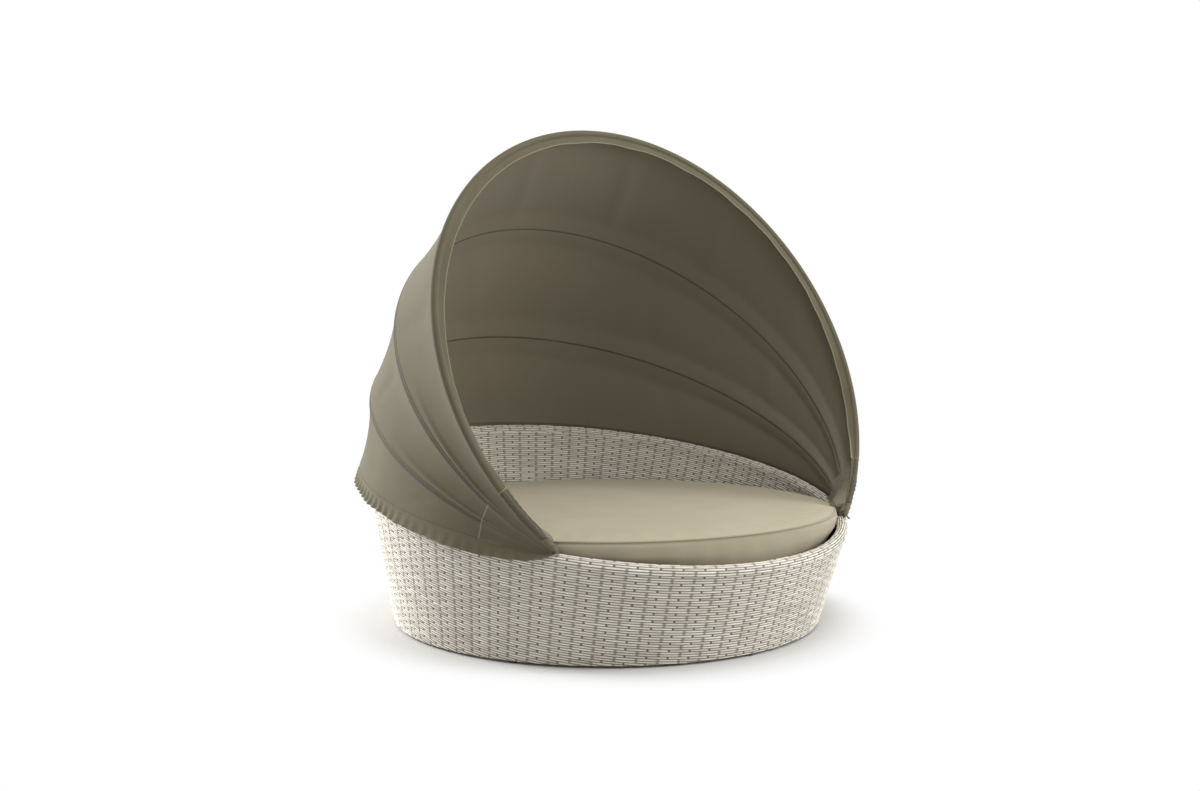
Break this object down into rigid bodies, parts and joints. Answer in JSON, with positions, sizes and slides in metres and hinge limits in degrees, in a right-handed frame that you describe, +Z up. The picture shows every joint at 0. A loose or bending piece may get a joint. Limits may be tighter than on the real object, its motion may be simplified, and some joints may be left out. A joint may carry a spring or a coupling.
{
  "type": "outdoor daybed with canopy",
  "caption": "Round woven outdoor daybed with a loose round seat cushion and a fabric canopy on hinged hoops that fold back onto the rear rim.",
  "frame": {"origin": "on the floor, under the foot in the middle of the tub", "axes": "+Z up, -Y towards the low open front of the daybed, +X to the right of someone facing its open front from inside the frame's -Y side"},
  "size_m": [1.8466, 1.8215, 1.8156],
  "materials": {
    "woven_fibre": "satin woven strand",
    "frame": "powder-coated, satin",
    "canopy_fabric": "matt outdoor canvas",
    "cushion_fabric": "matt outdoor canvas",
    "foam": "open-cell foam",
    "fittings": "brushed stainless",
    "nylon": "moulded nylon"
  },
  "bodies": {
    "tub": {"base_ring": "frame", "rim_tube": "frame", "deck_ring": "frame", "slatted_deck": "frame", "middle_leg": "frame", "middle_foot": "nylon", "outer_weave": "woven_fibre", "inner_weave": "woven_fibre", "woven_rim": "woven_fibre", "cushion_cover": "cushion_fabric", "cushion_base_panel": "cushion_fabric", "cushion_foam_core": "foam", "wall_strut_1": "frame", "wall_strut_2": "frame", "wall_strut_3": "frame", "wall_strut_4": "frame", "wall_strut_5": "frame", "wall_strut_6": "frame", "wall_strut_7": "frame", "wall_strut_8": "frame", "wall_strut_9": "frame", "wall_strut_10": "frame", "wall_strut_11": "frame", "wall_strut_12": "frame", "floor_glide_1": "nylon", "floor_glide_2": "nylon", "floor_glide_3": "nylon", "floor_glide_4": "nylon", "floor_glide_5": "nylon", "floor_glide_6": "nylon", "pivot_bracket_right": "fittings", "pivot_pin_right": "fittings", "pivot_nut_right": "fittings", "bracket_screw_right_1": "fittings", "bracket_screw_right_2": "fittings", "canopy_corner_right": "canopy_fabric", "pivot_bracket_left": "fittings", "pivot_pin_left": "fittings", "pivot_nut_left": "fittings", "bracket_screw_left_1": "fittings", "bracket_screw_left_2": "fittings", "canopy_corner_left": "canopy_fabric", "canopy_skirt": "canopy_fabric", "canopy_rear_panel": "canopy_fabric"},
    "lower_bow": {"lower_bow": "frame", "lower_bow_end_right": "fittings", "lower_bow_end_left": "fittings", "lower_bow_sleeve": "canopy_fabric", "canopy_middle_panel": "canopy_fabric"},
    "upper_bow": {"upper_bow": "frame", "upper_bow_end_right": "fittings", "upper_bow_end_left": "fittings", "upper_bow_sleeve": "canopy_fabric", "canopy_front_panel": "canopy_fabric"},
    "front_bow": {"front_bow": "frame", "front_bow_end_right": "fittings", "front_bow_end_left": "fittings", "front_bow_facing": "canopy_fabric"}
  },
  "joints": [
    {"name": "canopy_fold", "type": "hinge", "parent": "tub", "child": "lower_bow", "pos_m": [0, -0.54581, 0.41042], "axis": [-1, 0, 0], "range_deg": [0, 14.1], "deforming": ["canopy_rear_panel"]},
    {"name": "upper_bow_fold", "type": "hinge", "parent": "lower_bow", "child": "upper_bow", "pos_m": [0, -0.54581, 0.41042], "axis": [-1, 0, 0], "range_deg": [0, 18.9], "deforming": ["canopy_middle_panel"]},
    {"name": "front_bow_fold", "type": "hinge", "parent": "upper_bow", "child": "front_bow", "pos_m": [0, -0.54581, 0.41042], "axis": [-1, 0, 0], "range_deg": [0, 19.2], "deforming": ["canopy_front_panel"]}
  ],
  "couplings": [
    {"joint": "upper_bow_fold", "follows": "canopy_fold", "ratio": 1.34},
    {"joint": "front_bow_fold", "follows": "canopy_fold", "ratio": 1.3615}
  ]
}
